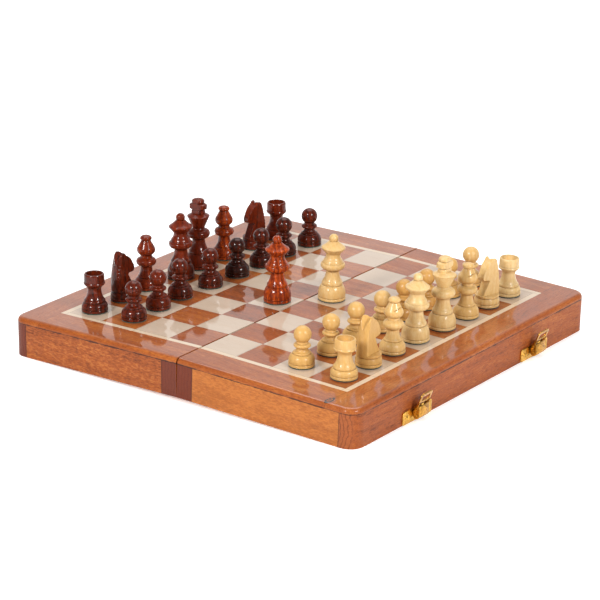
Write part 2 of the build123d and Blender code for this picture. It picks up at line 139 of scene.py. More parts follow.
def timberGroup():
    # Solid timber with its grain along X, inclined by Slope: growth rings round a far pith, slow
    # figure, short flecks, fine fibres, open pores and dark streaks, each from 0 to 1.
    takes = {"Vector": "vector", "Seed": 0.0, "Ring Pitch": 0.006, "Slope": 0.0}
    make, took, gave = group("timber", takes, ("Rings", "Figure", "Flecks", "Fibres", "Pores", "Streaks"))
    x, y, z = make.split(took["Vector"])
    y = make.math("MULTIPLY_ADD", x, took["Slope"], y)
    seed = took["Seed"]
    place = make.join(make.math("MULTIPLY_ADD", seed, 0.371, x), make.math("MULTIPLY_ADD", seed, 0.173, y),
                      make.math("MULTIPLY_ADD", seed, 0.269, z))
    figure = make.noise(make.vector("MULTIPLY", place, (13.0, 52.0, 52.0)), 1.0, 3.0, 0.55, 0.3)
    drift = make.noise(make.vector("MULTIPLY", place, (4.0, 16.0, 16.0)), 1.0, 2.0, 0.5)
    side = make.math("ADD", make.split(place)[1], 0.041)
    depth = make.math("ADD", make.split(place)[2], 0.083)
    away = make.vector("LENGTH", make.join(0.0, side, depth))
    count = make.math("DIVIDE", away, took["Ring Pitch"])
    count = make.total((drift, 4.5), (figure, 0.8), (count, 1.0))
    ring = make.math("FRACT", count)
    rings = make.math("MULTIPLY", make.ease(ring, 0.15, 0.8), make.ease(ring, 0.8, 1.0, 1.0, 0.0))
    flecks = make.noise(make.vector("MULTIPLY", place, (300.0, 900.0, 900.0)), 1.0, 3.0, 0.6, 0.2)
    fibres = make.noise(make.vector("MULTIPLY", place, (85.0, 1700.0, 1700.0)), 1.0, 3.0, 0.65)
    dashes = make.noise(make.vector("MULTIPLY", place, (330.0, 2600.0, 2600.0)), 1.0, 1.0, 0.5)
    pores = make.ease(dashes, 0.61, 0.70)
    streaks = make.noise(make.vector("MULTIPLY", place, (62.0, 620.0, 620.0)), 1.0, 2.0, 0.55, 0.4)
    make.feed(gave, {
        "Rings": rings, "Figure": make.ease(figure, 0.25, 0.75), "Flecks": make.ease(flecks, 0.3, 0.7),
        "Fibres": make.ease(fibres, 0.28, 0.72), "Pores": pores, "Streaks": make.ease(streaks, 0.56, 0.68),
    })
    return make.tree


def wearGroup():
    # Handling marks: smudges that dull the polish.
    make, took, gave = group("wear", {"Vector": "vector", "Scale": 1.0}, ("Smudge",))
    scale = make.join(took["Scale"], took["Scale"], took["Scale"])
    place = make.vector("MULTIPLY", took["Vector"], scale)
    smudge = make.ease(make.noise(place, 38.0, 5.0, 0.62, 0.6), 0.42, 0.72)
    make.feed(gave, {"Smudge": smudge})
    return make.tree


timber, wear = timberGroup(), wearGroup()


def newMaterial(name):
    material = bpy.data.materials.new(name)
    material.use_nodes = True
    return material, Maker(material.node_tree), material.node_tree.nodes["Principled BSDF"].inputs


def objectPlace(make):
    return make.add("TexCoord").outputs["Object"]


def along(make, place, axis):
    # The place with the grain's axis first.
    x, y, z = make.split(place)
    return {"x": place, "y": make.join(y, x, z)}[axis]


def paint(r, g, b):
    # A colour named as a paint chart does, 0 to 255, in the shader's linear values.
    values = np.array([r, g, b]) / 255
    return (*np.where(values < 0.04045, values / 12.92, ((values + 0.055) / 1.055) ** 2.4).tolist(), 1.0)


def placeOnHalf(make, place):
    # Distance from the seam and height above the rim, measured on a half: the halves lean
    # outwards from the hinge axis by the tilt.
    x, y, z = make.split(place)
    rise, out = make.math("SUBTRACT", z, board["barrel"]), make.math("ABSOLUTE", x)
    return make.total((out, cos(tilt)), (rise, -sin(tilt))), make.total((rise, cos(tilt)), (out, sin(tilt)))


def lacquer(make, shader, colour, grain, place, finish):
    # Timber under clear varnish: open grain below, a hard clear coat with handling marks above,
    # rubbed thin where the surface turns away from level.
    marks = make.use(wear, {"Vector": place})
    level = make.math("ABSOLUTE", make.split(make.add("NewGeometry").outputs["Normal"])[2])
    coat = make.ease(level, 0.75, 0.97, finish["edgeCoat"], finish["coat"])
    coat = make.math("MULTIPLY", coat, make.ease(marks["Smudge"], 0.0, 1.0, 1.0, 0.85))
    height = make.total((grain["Fibres"], 0.3), (grain["Flecks"], 0.2), (grain["Pores"], -1.0))
    swell = make.noise(place, 120.0, 2.0, 0.5)
    rough = make.total((grain["Fibres"], 0.14), (marks["Smudge"], 0.05), (1.0, finish["body"]))
    make.feed(shader, {
        "Base Color": colour, "Roughness": rough,
        "Coat Weight": coat, "Coat Roughness": finish["coatRoughness"], "Coat IOR": 1.5,
        "Specular IOR Level": finish["specular"], "Normal": make.bump(height, finish["depth"], 0.6),
        "Coat Normal": make.bump(swell, 0.0001, 0.18),
    })


rosewood = {
    "pale": paint(176, 100, 40), "middle": paint(146, 72, 24), "dark": paint(84, 36, 12),
    "pore": paint(58, 24, 10), "joint": paint(36, 15, 9), "gold": paint(190, 122, 52), "goldShare": 0.25,
}
sawnEnds = {"seam": (paint(106, 40, 13), paint(82, 28, 8)), "old": (paint(106, 44, 22), paint(80, 30, 14)),
            "outer": (paint(156, 82, 36), paint(92, 42, 18))}
maple = {"pale": paint(194, 174, 154), "dark": paint(178, 150, 124), "pore": paint(140, 104, 74),
         "string": paint(208, 186, 160)}
polish = {"coat": 1.0, "edgeCoat": 0.15, "coatRoughness": 0.05, "body": 0.4, "specular": 0.2,
          "depth": 0.00002}
satin = {"coat": 0.2, "edgeCoat": 0.2, "coatRoughness": 0.25, "body": 0.55, "specular": 0.2,
         "depth": 0.00008}


def rosewoodColour(make, grain, tone, streaks=0.12, flecks=0.28):
    # Pale to dark by figure, fleck, fibre and ring, then dark streaks and open pores.
    share = make.total((grain["Figure"], 0.34), (grain["Flecks"], flecks), (grain["Fibres"], 0.2),
                       (grain["Rings"], 0.14), (tone, 1.0))
    low = make.mix(make.ease(share, 0.0, 0.5), rosewood["pale"], rosewood["middle"])
    share = make.total((grain["Streaks"], streaks), (share, 1.0))
    colour = make.mix(make.ease(share, 0.45, 1.1), low, rosewood["dark"])
    return make.mix(make.math("MULTIPLY", grain["Pores"], 0.5), colour, rosewood["pore"])


def railLine(make, place):
    # The dark glue line under the border rails, 0 to 1, uneven in width.
    height = placeOnHalf(make, place)[1]
    away = make.math("ABSOLUTE", make.math("SUBTRACT", height, board["railFoot"]))
    width = make.ease(make.noise(place, 90.0, 4.0, 0.7), 0.35, 0.7, 0.0002, 0.0010)
    return make.ease(make.math("SUBTRACT", 1.0, make.math("DIVIDE", away, width)), 0.0, 0.6, 0.0, 0.85)


def uprightLine(make, place):
    # The upright glue lines where the side walls meet the seam wall and the end wall.
    out = placeOnHalf(make, place)[0]
    gaps = [make.math("SUBTRACT", out, board[key]) for key in ("seamJoint", "endJoint")]
    away = [make.math("ABSOLUTE", gap) for gap in gaps]
    return make.ease(make.math("MINIMUM", *away), 0.0001, 0.0004, 0.8, 0.0)


# growth rings on a sawn end: their middle on a half, how flat they lie, their pitch and wander
endGrain = {"out": 0.127, "drop": 0.008, "flat": 0.6, "pitch": 0.0026, "wander": 0.004}


def sawnEnd(make, place, grain, sawn):
    # End grain: thin dark rings bowed towards the corner.
    out, height = placeOnHalf(make, place)
    wander = make.math("MULTIPLY", make.noise(place, 160.0, 3.0, 0.6), endGrain["wander"])
    across = make.math("SUBTRACT", out, endGrain["out"])
    above = make.math("MULTIPLY_ADD", height, endGrain["flat"], -endGrain["drop"])
    away = make.vector("LENGTH", make.join(across, above, 0.0))
    rings = make.math("DIVIDE", make.math("ADD", away, wander), endGrain["pitch"])
    rings = make.ease(make.math("PINGPONG", rings, 0.5), 0.02, 0.25, 0.6, 0.0)
    return make.mix(make.total((rings, 0.8), (grain["Flecks"], 0.35)), *sawn)


def wallMaterial(name, axis, seed, slope, tone, sawn):
    # A wall of the box: one board with its grain along the wall, and its sawn ends. The side
    # walls of the right half are paler and yellower than those of the left.
    material, make, shader = newMaterial(name)
    place = objectPlace(make)
    right = make.math("GREATER_THAN", make.split(place)[0], 0.0)
    seed = make.math("MULTIPLY_ADD", right, 2.7, seed)
    grain = make.use(timber, {"Vector": along(make, place, axis), "Seed": seed, "Ring Pitch": 0.0065,
                              "Slope": slope})
    normal = make.add("NewGeometry").outputs["Normal"]
    facing = make.vector("DOT_PRODUCT", normal, (1, 0, 0) if axis == "x" else (0, 1, 0))
    ends = make.ease(make.math("ABSOLUTE", facing), 0.6, 0.85)
    if axis == "x":
        tone = make.math("MULTIPLY_ADD", right, -0.2, tone)
    colour = rosewoodColour(make, grain, tone, 0.15, 0.55 if axis == "x" else 0.28)
    if axis == "x":
        colour = make.mix(make.math("MULTIPLY", right, rosewood["goldShare"]), colour, rosewood["gold"])
    colour = make.mix(ends, colour, make.mix(right, sawnEnd(make, place, grain, sawnEnds["old"]),
                                             sawnEnd(make, place, grain, sawn)))
    lines = make.math("MAXIMUM", railLine(make, place), uprightLine(make, place))
    lacquer(make, shader, make.mix(lines, colour, rosewood["joint"]), grain, place, satin)
    return material


# a small knot in the border near the front corner, in metres from the board's middle
knot = {"x": 0.1250, "y": -0.1455, "long": 0.0062, "wide": 0.0026, "pitch": 0.0011}


def knotMark(make, place):
    # Rings squeezed across the rail round the knot's middle, fading out by three half lengths.
    x, y, z = make.split(place)
    u = make.math("DIVIDE", make.math("SUBTRACT", x, knot["x"]), knot["wide"])
    v = make.math("DIVIDE", make.math("SUBTRACT", y, knot["y"]), knot["long"])
    wobble = make.math("MULTIPLY", make.noise(place, 320.0, 2.0, 0.5), 0.9)
    away = make.math("ADD", make.vector("LENGTH", make.join(u, v, 0.0)), wobble)
    rings = make.ease(make.math("PINGPONG", make.math("MULTIPLY", away, 1.3), 0.5), 0.08, 0.3)
    return make.math("MULTIPLY", make.ease(away, 1.1, 2.0, 1.0, 0.0), rings)


def railMaterial():
    # Border rails: the end rails run along Y, the side rails along X, with a joint between them.
    material, make, shader = newMaterial("rosewoodRails")
    place = objectPlace(make)
    x, y, z = make.split(place)
    end = make.math("GREATER_THAN", make.math("ABSOLUTE", x), fieldEnd)
    seed = make.total((make.math("SIGN", y), 1.7), (make.math("SIGN", x), 0.9), (end, 5.3))
    turned = make.mix(end, place, make.join(y, x, z))
    grain = make.use(timber, {"Vector": turned, "Seed": seed, "Ring Pitch": 0.008, "Slope": 0.05})
    joint = make.math("SUBTRACT", make.math("ABSOLUTE", x), fieldEnd)
    joint = make.ease(make.math("ABSOLUTE", joint), 0.00005, board["glueLine"] * 2, 0.6, 0.0)
    colour = rosewoodColour(make, grain, make.math("MULTIPLY_ADD", end, 0.08, -0.12))
    marks = make.math("MAXIMUM", make.math("MAXIMUM", joint, railLine(make, place)), knotMark(make, place))
    colour = make.mix(marks, colour, rosewood["joint"])
    lacquer(make, shader, colour, grain, place, polish)
    return material


def tileParts(make, place):
    # A chance value for the square that a point lies in, and a line where squares meet.
    x, y, z = make.split(place)
    square = board["square"]
    column = make.math("DIVIDE", make.math("ADD", make.math("ABSOLUTE", x), board["kerf"]), square)
    rank = make.math("DIVIDE", y, square)
    number = make.join(make.math("MULTIPLY", make.math("CEIL", column), make.math("SIGN", x)),
                       make.math("FLOOR", rank), 0.0)
    chance = make.add("TexWhiteNoise", {"Vector": number}).outputs
    edges = [make.math("PINGPONG", value, 0.5) for value in (column, rank)]
    near = make.math("MULTIPLY", make.math("MINIMUM", *edges), square)
    line = make.ease(near, board["glueLine"] * 0.4, board["glueLine"] * 1.6, 0.7, 0.0)
    return chance, line


def onStringing(make, place):
    # 1 on the line round the squares, which is of paler maple.
    x, y, z = make.split(place)
    out = make.math("SUBTRACT", make.math("ABSOLUTE", x), fieldEnd - board["stringing"])
    side = make.math("SUBTRACT", make.math("ABSOLUTE", y), fieldSide - board["stringing"])
    return make.math("GREATER_THAN", make.math("MAXIMUM", out, side), 0.0)


def squareMaterial(name, dark):
    # Veneer squares: each has its own tone and its own piece of grain.
    material, make, shader = newMaterial(name)
    place = objectPlace(make)
    chance, line = tileParts(make, place)
    tone = make.math("SUBTRACT", make.split(chance["Color"])[1], 0.5)
    grain = make.use(timber, {"Vector": place, "Seed": make.math("MULTIPLY", chance["Value"], 9.0),
                              "Ring Pitch": 0.006 if dark else 0.011, "Slope": 0.02})
    if dark:
        colour = rosewoodColour(make, grain, make.math("MULTIPLY_ADD", tone, 0.34, -0.08), 0.04)
    else:
        share = make.total((grain["Figure"], 0.3), (grain["Rings"], 0.1), (grain["Fibres"], 0.15),
                           (tone, 0.4))
        colour = make.mix(make.ease(share, 0.0, 1.0), maple["pale"], maple["dark"])
        colour = make.mix(make.math("MULTIPLY", grain["Pores"], 0.15), colour, maple["pore"])
        colour = make.mix(onStringing(make, place), colour, maple["string"])
    colour = make.mix(line, colour, rosewood["joint"])
    lacquer(make, shader, colour, grain, place, polish)
    return material


def coreMaterial():
    # Thin plies seen at the sawn edge of the panel.
    material, make, shader = newMaterial("corePly")
    place = objectPlace(make)
    grain = make.use(timber, {"Vector": along(make, place, "y"), "Seed": 2.0})
    ply = make.math("PINGPONG", make.math("MULTIPLY", placeOnHalf(make, place)[1], 1000.0), 0.5)
    colour = make.mix(make.ease(ply, 0.05, 0.45), paint(150, 96, 58), paint(196, 148, 98))
    colour = make.mix(make.math("MULTIPLY", grain["Fibres"], 0.5), colour, paint(116, 70, 42))
    make.feed(shader, {"Base Color": colour, "Roughness": make.total((grain["Fibres"], 0.2), (1.0, 0.55)),
                       "Normal": make.bump(grain["Fibres"], 0.00005, 0.5)})
    return material


def feltMaterial(name, deep, high):
    # Short matted wool: clumps, fine fibres and a soft sheen.
    material, make, shader = newMaterial(name)
    place = objectPlace(make)
    clumps = make.noise(place, 260.0, 5.0, 0.65, 0.4)
    fibres = make.noise(make.vector("MULTIPLY", place, (1500.0, 2600.0, 1500.0)), 1.0, 3.0, 0.7, 1.2)
    share = make.total((clumps, 0.6), (fibres, 0.4))
    make.feed(shader, {"Base Color": make.mix(make.ease(share, 0.25, 0.75), deep, high),
                       "Roughness": make.ease(fibres, 0.2, 0.8, 0.82, 1.0), "Sheen Weight": 0.4,
                       "Sheen Roughness": 0.6, "Normal": make.bump(share, 0.00018, 0.8)})
    return material


def brassMaterial(name, bright, dull, dirtAndShade):
    # Stamped brass: rolled scratches, tarnish in small patches, brown where dirt has gathered.
    material, make, shader = newMaterial(name)
    place = objectPlace(make)
    marks = make.use(wear, {"Vector": place, "Scale": 5.0})
    rolled = make.noise(make.vector("MULTIPLY", place, (900.0, 260.0, 2600.0)), 1.0, 3.0, 0.6)
    patch = make.ease(make.noise(place, 620.0, 5.0, 0.7), 0.35, 0.7)
    colour = make.mix(make.total((patch, 0.5), (rolled, 0.5)), bright, dull)
    colour = make.mix(make.math("MULTIPLY", marks["Smudge"], 0.7), colour, dirtAndShade)
    rough = make.total((patch, 0.1), (rolled, 0.16), (marks["Smudge"], 0.16), (1.0, 0.12))
    height = make.total((rolled, 0.5), (patch, 0.5))
    make.feed(shader, {"Base Color": colour, "Metallic": 1.0, "Roughness": rough,
                       "Normal": make.bump(height, 0.00004, 0.5)})
    return material


def manMaterial(name, colours, finish):
    # Turned timber. "lathe" keeps each point's place in its own turning, "tone" is the man's own
    # tone of wood, and "cavity" is 1 in the grooves, which are painted dark as shade and dirt there.
    material, make, shader = newMaterial(name)
    lathe = make.add("Attribute", attribute_name="lathe").outputs["Vector"]
    tone = make.add("Attribute", attribute_name="tone").outputs["Fac"]
    cavity = make.add("Attribute", attribute_name="cavity").outputs["Fac"]
    x, y, z = make.split(lathe)
    grain = make.use(timber, {"Vector": make.join(z, x, y), "Seed": make.math("MULTIPLY", tone, 31.0),
                              "Ring Pitch": 0.0036, "Slope": 0.12})
    blotch = make.noise(make.vector("MULTIPLY", lathe, (190.0, 190.0, 80.0)), 1.0, 4.0, 0.65, 0.8)
    streaks = make.total((grain["Rings"], 0.3), (blotch, 1.5), (grain["Flecks"], 0.5),
                         (grain["Fibres"], 0.4), (1.0, -1.30))
    share = make.total((streaks, finish["figure"]), (tone, 1.0), (1.0, 0.42))
    pale, middle, dark, groove = (paint(*colour) for colour in colours)
    colour = make.mix(make.ease(share, 0.1, 0.75), pale, middle)
    colour = make.mix(make.ease(share, 0.7, 1.4), colour, dark)
    # painted shade and dirt in the grooves, and the open pores, darken towards the last colour
    grooveShadeAndPores = make.math("MAXIMUM", make.math("MULTIPLY", cavity, finish["dirtAndShade"]),
                      make.math("MULTIPLY", grain["Pores"], finish["pores"]))
    colour = make.mix(grooveShadeAndPores, colour, groove)
    marks = make.use(wear, {"Vector": lathe, "Scale": 1.6})
    cuts = make.noise(make.join(0.0, 0.0, make.math("MULTIPLY", z, 2600.0)), 1.0, 2.0, 0.6)
    make.feed(shader, {
        "Base Color": colour, "Roughness": make.total((grain["Fibres"], 0.12), (1.0, finish["body"])),
        "Coat Weight": make.ease(marks["Smudge"], 0.0, 1.0, finish["coat"], finish["coat"] * 0.8),
        "Coat Roughness": finish["coatRoughness"], "Coat IOR": 1.5,
        "Specular IOR Level": finish["specular"],
        "Normal": make.bump(make.total((cuts, 0.6), (grain["Fibres"], 0.4)), 0.00005, finish["cut"]),
    })
    return material


materials = {
    "rails": railMaterial(),
    "endWall": wallMaterial("rosewoodEndWall", "y", 3.0, 0.04, 0.02, sawnEnds["outer"]),
    # the seam wall is paler: raw planed wood, and painted light that lifts the shade in the gap between the
    # halves
    "seamWall": wallMaterial("rosewoodSeamWall", "y", 7.0, 0.02, -0.3, sawnEnds["seam"]),
    "sideWalls": wallMaterial("rosewoodSideWalls", "x", 1.0, 0.10, -0.10, sawnEnds["seam"]),
    "darkSquares": squareMaterial("rosewoodSquares", True),
    "maple": squareMaterial("mapleInlay", False),
    "core": coreMaterial(),
    "felt": feltMaterial("trayFelt", paint(12, 52, 30), paint(34, 96, 58)),
    "pad": feltMaterial("padFelt", paint(8, 28, 20), paint(18, 56, 38)),
    "brass": brassMaterial("plateBrass", paint(244, 198, 96), paint(196, 142, 52), paint(110, 66, 24)),
    # a darker copy of the plate brass, with darker dirt: painted shade on the levers and bails
    "shadedBrass": brassMaterial("shadedLeverBrass", paint(222, 168, 72), paint(140, 88, 32), paint(50, 28, 14)),
    # each man's colours: pale, middle, dark, then the painted shade and dirt of his grooves
    "darkMan": manMaterial("stainedMan", ((210, 86, 18), (106, 32, 7), (36, 10, 4), (10, 4, 2)),
                           {"coat": 0.42, "coatRoughness": 0.05, "body": 0.35, "cut": 0.2, "figure": 0.5,
                            "dirtAndShade": 1.0, "pores": 0.6, "specular": 0.1}),
    "lightMan": manMaterial("boxwoodMan", ((220, 192, 140), (206, 162, 94), (180, 128, 62), (112, 68, 32)),
                            {"coat": 0.35, "coatRoughness": 0.15, "body": 0.4, "cut": 0.25, "figure": 0.3,
                            "dirtAndShade": 0.85, "pores": 0.1, "specular": 0.2}),
}
print("materials:", len(materials))


def arcThrough(a, b, c, count=40):
    # Points of the circle through a, b and c, from a to c by way of b.
    (ax, ay), (bx, by), (cx, cy) = a, b, c
    d = 2 * (ax * (by - cy) + bx * (cy - ay) + cx * (ay - by))
    squares = [x * x + y * y for x, y in (a, b, c)]
    ox = (squares[0] * (by - cy) + squares[1] * (cy - ay) + squares[2] * (ay - by)) / d
    oy = (squares[0] * (cx - bx) + squares[1] * (ax - cx) + squares[2] * (bx - ax)) / d
    start, middle, end = (np.arctan2(y - oy, x - ox) for x, y in (a, b, c))
    sweep = (end - start) % (2 * pi)
    if (middle - start) % (2 * pi) > sweep:
        sweep -= 2 * pi
    angles = start + sweep * np.linspace(0, 1, count)
    radius = np.hypot(ax - ox, ay - oy)
    return np.column_stack([ox + radius * np.cos(angles), oy + radius * np.sin(angles)])


def smoothed(line, width):
    # Each point averaged with its neighbours along the line; the two ends stay.
    padded = np.pad(line, ((width // 2, width // 2), (0, 0)), mode="edge")
    kernel = np.ones(width) / width
    soft = np.column_stack([np.convolve(padded[:, i], kernel, "valid") for i in (0, 1)])
    soft[0], soft[-1] = line[0], line[-1]
    return soft


def outlineOf(start, runs, spacing=0.12, soften=3):
    # Lines and arcs sampled evenly, with their corners eased.
    pieces, point = [np.array([start])], start
    for run in runs:
        if isinstance(run[0], tuple):
            pieces.append(arcThrough(point, run[0], run[1])[1:])
            point = run[1]
        else:
            pieces.append(np.array([run]))
            point = run
    points = np.vstack(pieces).astype(float)
    steps = np.concatenate([[0], np.cumsum(np.hypot(*np.diff(points, axis=0).T))])
    even = np.linspace(0, steps[-1], int(steps[-1] / spacing))
    return smoothed(np.column_stack([np.interp(even, steps, points[:, i]) for i in (0, 1)]), soften)


def closedTube(grid, first, last):
    # Rings of points joined by quads, with a fan to one point at each end.
    rings, around = grid.shape[:2]
    points = np.vstack([grid.reshape(-1, 3), first, last])
    row, column = np.meshgrid(np.arange(rings - 1), np.arange(around), indexing="ij")
    beside = (column + 1) % around
    quads = np.stack([row * around + column, row * around + beside,
                      (row + 1) * around + beside, (row + 1) * around + column], axis=-1).reshape(-1, 4)
    edge = np.arange(around)
    top, last = (rings - 1) * around, rings * around
    fans = np.vstack([np.column_stack([(edge + 1) % around, edge, np.full(around, last)]),
                      np.column_stack([top + edge, top + (edge + 1) % around, np.full(around, last + 1)])])
    return points, quads.tolist() + fans.tolist()


# turned surfaces, in millimetres: how far apart their rings lie, the outline points averaged to
# find a groove and the depth of a full one, and the points round each kind of piece
ringStep = {"along": 0.35, "turn": radians(25)}
grooves = {"points": 11, "full": 0.22}
rounds = {"man": 72, "bishop": 96, "finial": 56, "pad": 56}
sharpTurn = radians(42)


def keptRings(outline):
    # Which outline points become rings: one for each step along it or step of turn, added up.
    step = np.diff(outline, axis=0)
    heading = np.unwrap(np.arctan2(step[:, 1], step[:, 0]))
    turn = np.abs(np.diff(heading, prepend=heading[0]))
    progress = np.floor(np.cumsum(np.hypot(*step.T) / ringStep["along"] + turn / ringStep["turn"]))
    return np.concatenate([[True], np.diff(progress, prepend=0) > 0])


def turnedSurface(outline, segments):
    # The kept rings of an outline carried round Z, and how deep in a groove each lies: a point is
    # in a groove where the outline averaged over its neighbours stands further out than itself.
    angles = np.linspace(0, 2 * pi, segments, endpoint=False)
    depth = np.clip((smoothed(outline, grooves["points"])[:, 0] - outline[:, 0]) / grooves["full"], 0, 1)
    ring = (outline[:, 0] > 1e-4) & keptRings(outline)
    rings = outline[ring]
    grid = np.stack([rings[:, :1] * np.cos(angles), rings[:, :1] * np.sin(angles),
                     np.repeat(rings[:, 1:], segments, 1)], axis=2)
    points, faces = closedTube(grid, (0, 0, outline[0, 1]), (0, 0, outline[-1, 1]))
    return points, faces, np.concatenate([np.repeat(depth[ring], segments), [0, 0]])


def template(name, *parts):
    # One mesh, in millimetres, from (points, faces, groove depth) parts.
    points = np.vstack([part[0] for part in parts])
    offsets = np.cumsum([0] + [len(part[0]) for part in parts])
    faces = [[index + int(offset) for index in face]
             for part, offset in zip(parts, offsets) for face in part[1]]
    mesh = bpy.data.meshes.new(name)
    mesh.from_pydata(points.tolist(), [], faces)
    cavity = mesh.attributes.new("cavity", "FLOAT", "POINT")
    cavity.data.foreach_set("value", np.concatenate([part[2] for part in parts]).astype(np.float32))
    mesh.shade_smooth()
    return mesh


def pointsOf(mesh):
    points = np.empty(len(mesh.vertices) * 3, np.float32)
    mesh.vertices.foreach_get("co", points)
    return points.reshape(-1, 3)


def setIn(mesh, material, matrix, tone=0.0):
    # A copy of a template put where it stands; "lathe" keeps each point's place on the template.
    mesh = mesh.copy()
    lathe = (pointsOf(mesh) * mm).ravel()
    mesh.attributes.new("lathe", "FLOAT_VECTOR", "POINT").data.foreach_set("vector", lathe)
    shade = np.full(len(mesh.vertices), tone, np.float32)
    mesh.attributes.new("tone", "FLOAT", "POINT").data.foreach_set("value", shade)
    mesh.transform(matrix)
    mesh.materials.append(material)
    return mesh


def pieceOf(name, mesh):
    piece = bpy.data.objects.new(name, mesh)
    scene.collection.objects.link(piece)
    return piece


def baked(piece):
    # The piece's mesh with its modifiers applied.
    return bpy.data.meshes.new_from_object(piece.evaluated_get(bpy.context.evaluated_depsgraph_get()))


# chessmen, in millimetres about their own axis, standing on z = 0
pad = {"thick": 0.8, "inset": 0.2, "clear": 0.02, "bite": 0.05}
footRadius = {"king": 10.2, "queen": 10.2, "bishop": 9.5, "knight": 9.5, "rook": 9.6, "pawn": 9.25}


def footRuns(radius):
    return [(radius, pad["thick"] + 0.3), (radius, 2.6), (radius - 0.5, 2.9), (radius - 0.2, 3.4)]


def ballRuns(radius, centre, neck):
    low = centre - (radius ** 2 - neck ** 2) ** 0.5
    return [(neck, low), ((radius, centre), (0, centre + radius))]


def domeRuns(radius, height, top):
    rise = top - height
    curve = (radius ** 2 + rise ** 2) / (2 * rise)
    return [((radius / 2, top - curve + (curve ** 2 - radius ** 2 / 4) ** 0.5), (0, top))]


royalRuns = [((9.6, 8.2), (7.9, 11.6)), (7.4, 11.9), ((7.6, 13.3), (6.8, 14.9)), ((5.3, 18.6), (4.8, 22.8))]
bodyRuns = {
    "pawn": [((8.8, 6.7), (6.9, 9.2)), (6.3, 9.3), ((6.4, 10.0), (5.6, 10.7)), ((4.3, 12.0), (4.0, 13.8)),
             (5.2, 14.1), ((6.0, 15.3), (5.2, 16.5)), (4.2, 16.8)] + ballRuns(6.2, 23.2, 3.9),
    "rook": [((9.2, 5.6), (8.1, 7.2)), (7.6, 7.4), ((7.8, 8.5), (7.0, 9.8)), ((5.5, 13.2), (5.0, 18.0)),
             (5.4, 18.9), (7.3, 20.8), ((7.8, 21.5), (7.7, 22.3)), (7.4, 22.7), (7.3, 28.0), (6.9, 28.9),
             (6.0, 28.9), (5.8, 28.6), (5.5, 25.2), (0, 24.8)],
    "bishop": [((8.7, 6.6), (6.7, 9.0)), (6.2, 9.2), ((6.3, 10.0), (5.7, 10.8)), ((4.7, 13.8), (4.3, 17.6)),
               (4.8, 18.2), ((7.4, 21.2), (5.2, 23.9)), (4.3, 24.6), (4.3, 26.4),
               ((6.7, 29.4), (6.1, 32.4)), (3.6, 37.0), (3.3, 37.5),
               ((4.3, 39.0), (3.3, 40.5))] + domeRuns(3.3, 40.5, 41.3),
    "queen": royalRuns + [(6.0, 23.6), ((8.8, 25.9), (8.6, 28.2)), (7.6, 28.8), ((7.0, 30.4), (6.1, 31.8)),
                          ((5.3, 33.8), (5.3, 35.8)), (6.2, 36.6), (8.5, 39.3), ((8.8, 40.1), (8.4, 40.8)),
                          ((5.6, 42.9), (3.3, 45.2))] + ballRuns(3.4, 47.0, 2.5),
    "king": royalRuns + [(5.4, 23.6), ((8.6, 27.2), (6.2, 30.2)), (5.0, 30.7), (4.5, 31.6), (8.2, 40.2),
                         ((8.5, 40.7), (8.1, 41.2)), (4.8, 42.9), (0, 42.9)],
    "knight": [((9.3, 5.2), (8.7, 6.9)), (8.2, 7.3), (8.2, 7.8), (8.9, 7.9), (8.9, 9.2), (8.7, 9.4),
               (0, 9.4)],
}
finialRuns = [(5.2, 42.6), (5.3, 44.6), (4.5, 45.6), (6.7, 46.7), (6.7, 49.8), (4.4, 50.8), (4.8, 51.6),
              ((4.4, 53.3), (3.4, 53.9))] + domeRuns(3.4, 53.9, 54.4)
finial = {"foot": 42.6, "flat": 3.6, "power": 12}
slit = {"place": (5.2, 0.0, 33.8), "lean": -38.0, "size": (5.0, 14.0, 0.7)}


def kingFinial():
    # A turned finial between two flats: y is limited smoothly to half the flats' distance.
    points, faces, cavity = turnedSurface(outlineOf((0, finial["foot"]), finialRuns), rounds["finial"])
    power = finial["power"]
    points[:, 1] = points[:, 1] / (1 + np.abs(points[:, 1] / finial["flat"]) ** power) ** (1 / power)
    return points, faces, cavity


carving = {
    "centre": (0.0, -0.5, 22.0),    # every point of the head can be seen from here
    "foot": 9.0,                    # the head grows out of the drum's collar here
    # half the head's width at a height near its back, and how it narrows upwards and forwards
    "cheek": 5.3, "height": 8.0, "back": 7.0, "lean": 0.015, "close": 0.16,
    "notchLow": 27.0, "notchRise": radians(50), "notchHalf": radians(50),
    "edge": 0.1,                    # softness of the carved edges
    "cuts": 6, "cutPitch": 2.6, "cutStart": 15.0, "cutDepth": 0.42, "cutSlope": 0.7071,
    "rings": 150, "around": 270,    # rays in the head's grid
    "reach": 24.0, "halvings": 24,
}


blank = {"radius": 8.9, "drawnIn": 3.4, "from": 17, "over": 20, "power": 1.5}
profileGrid = {"y": (-10, 10, 161), "z": (7, 38, 249)}


def blankRadius(height):
    # The knight's round blank, drawn in above.
    rise = np.clip((height - blank["from"]) / blank["over"], 0, None)
    return blank["radius"] - blank["drawnIn"] * rise ** blank["power"]


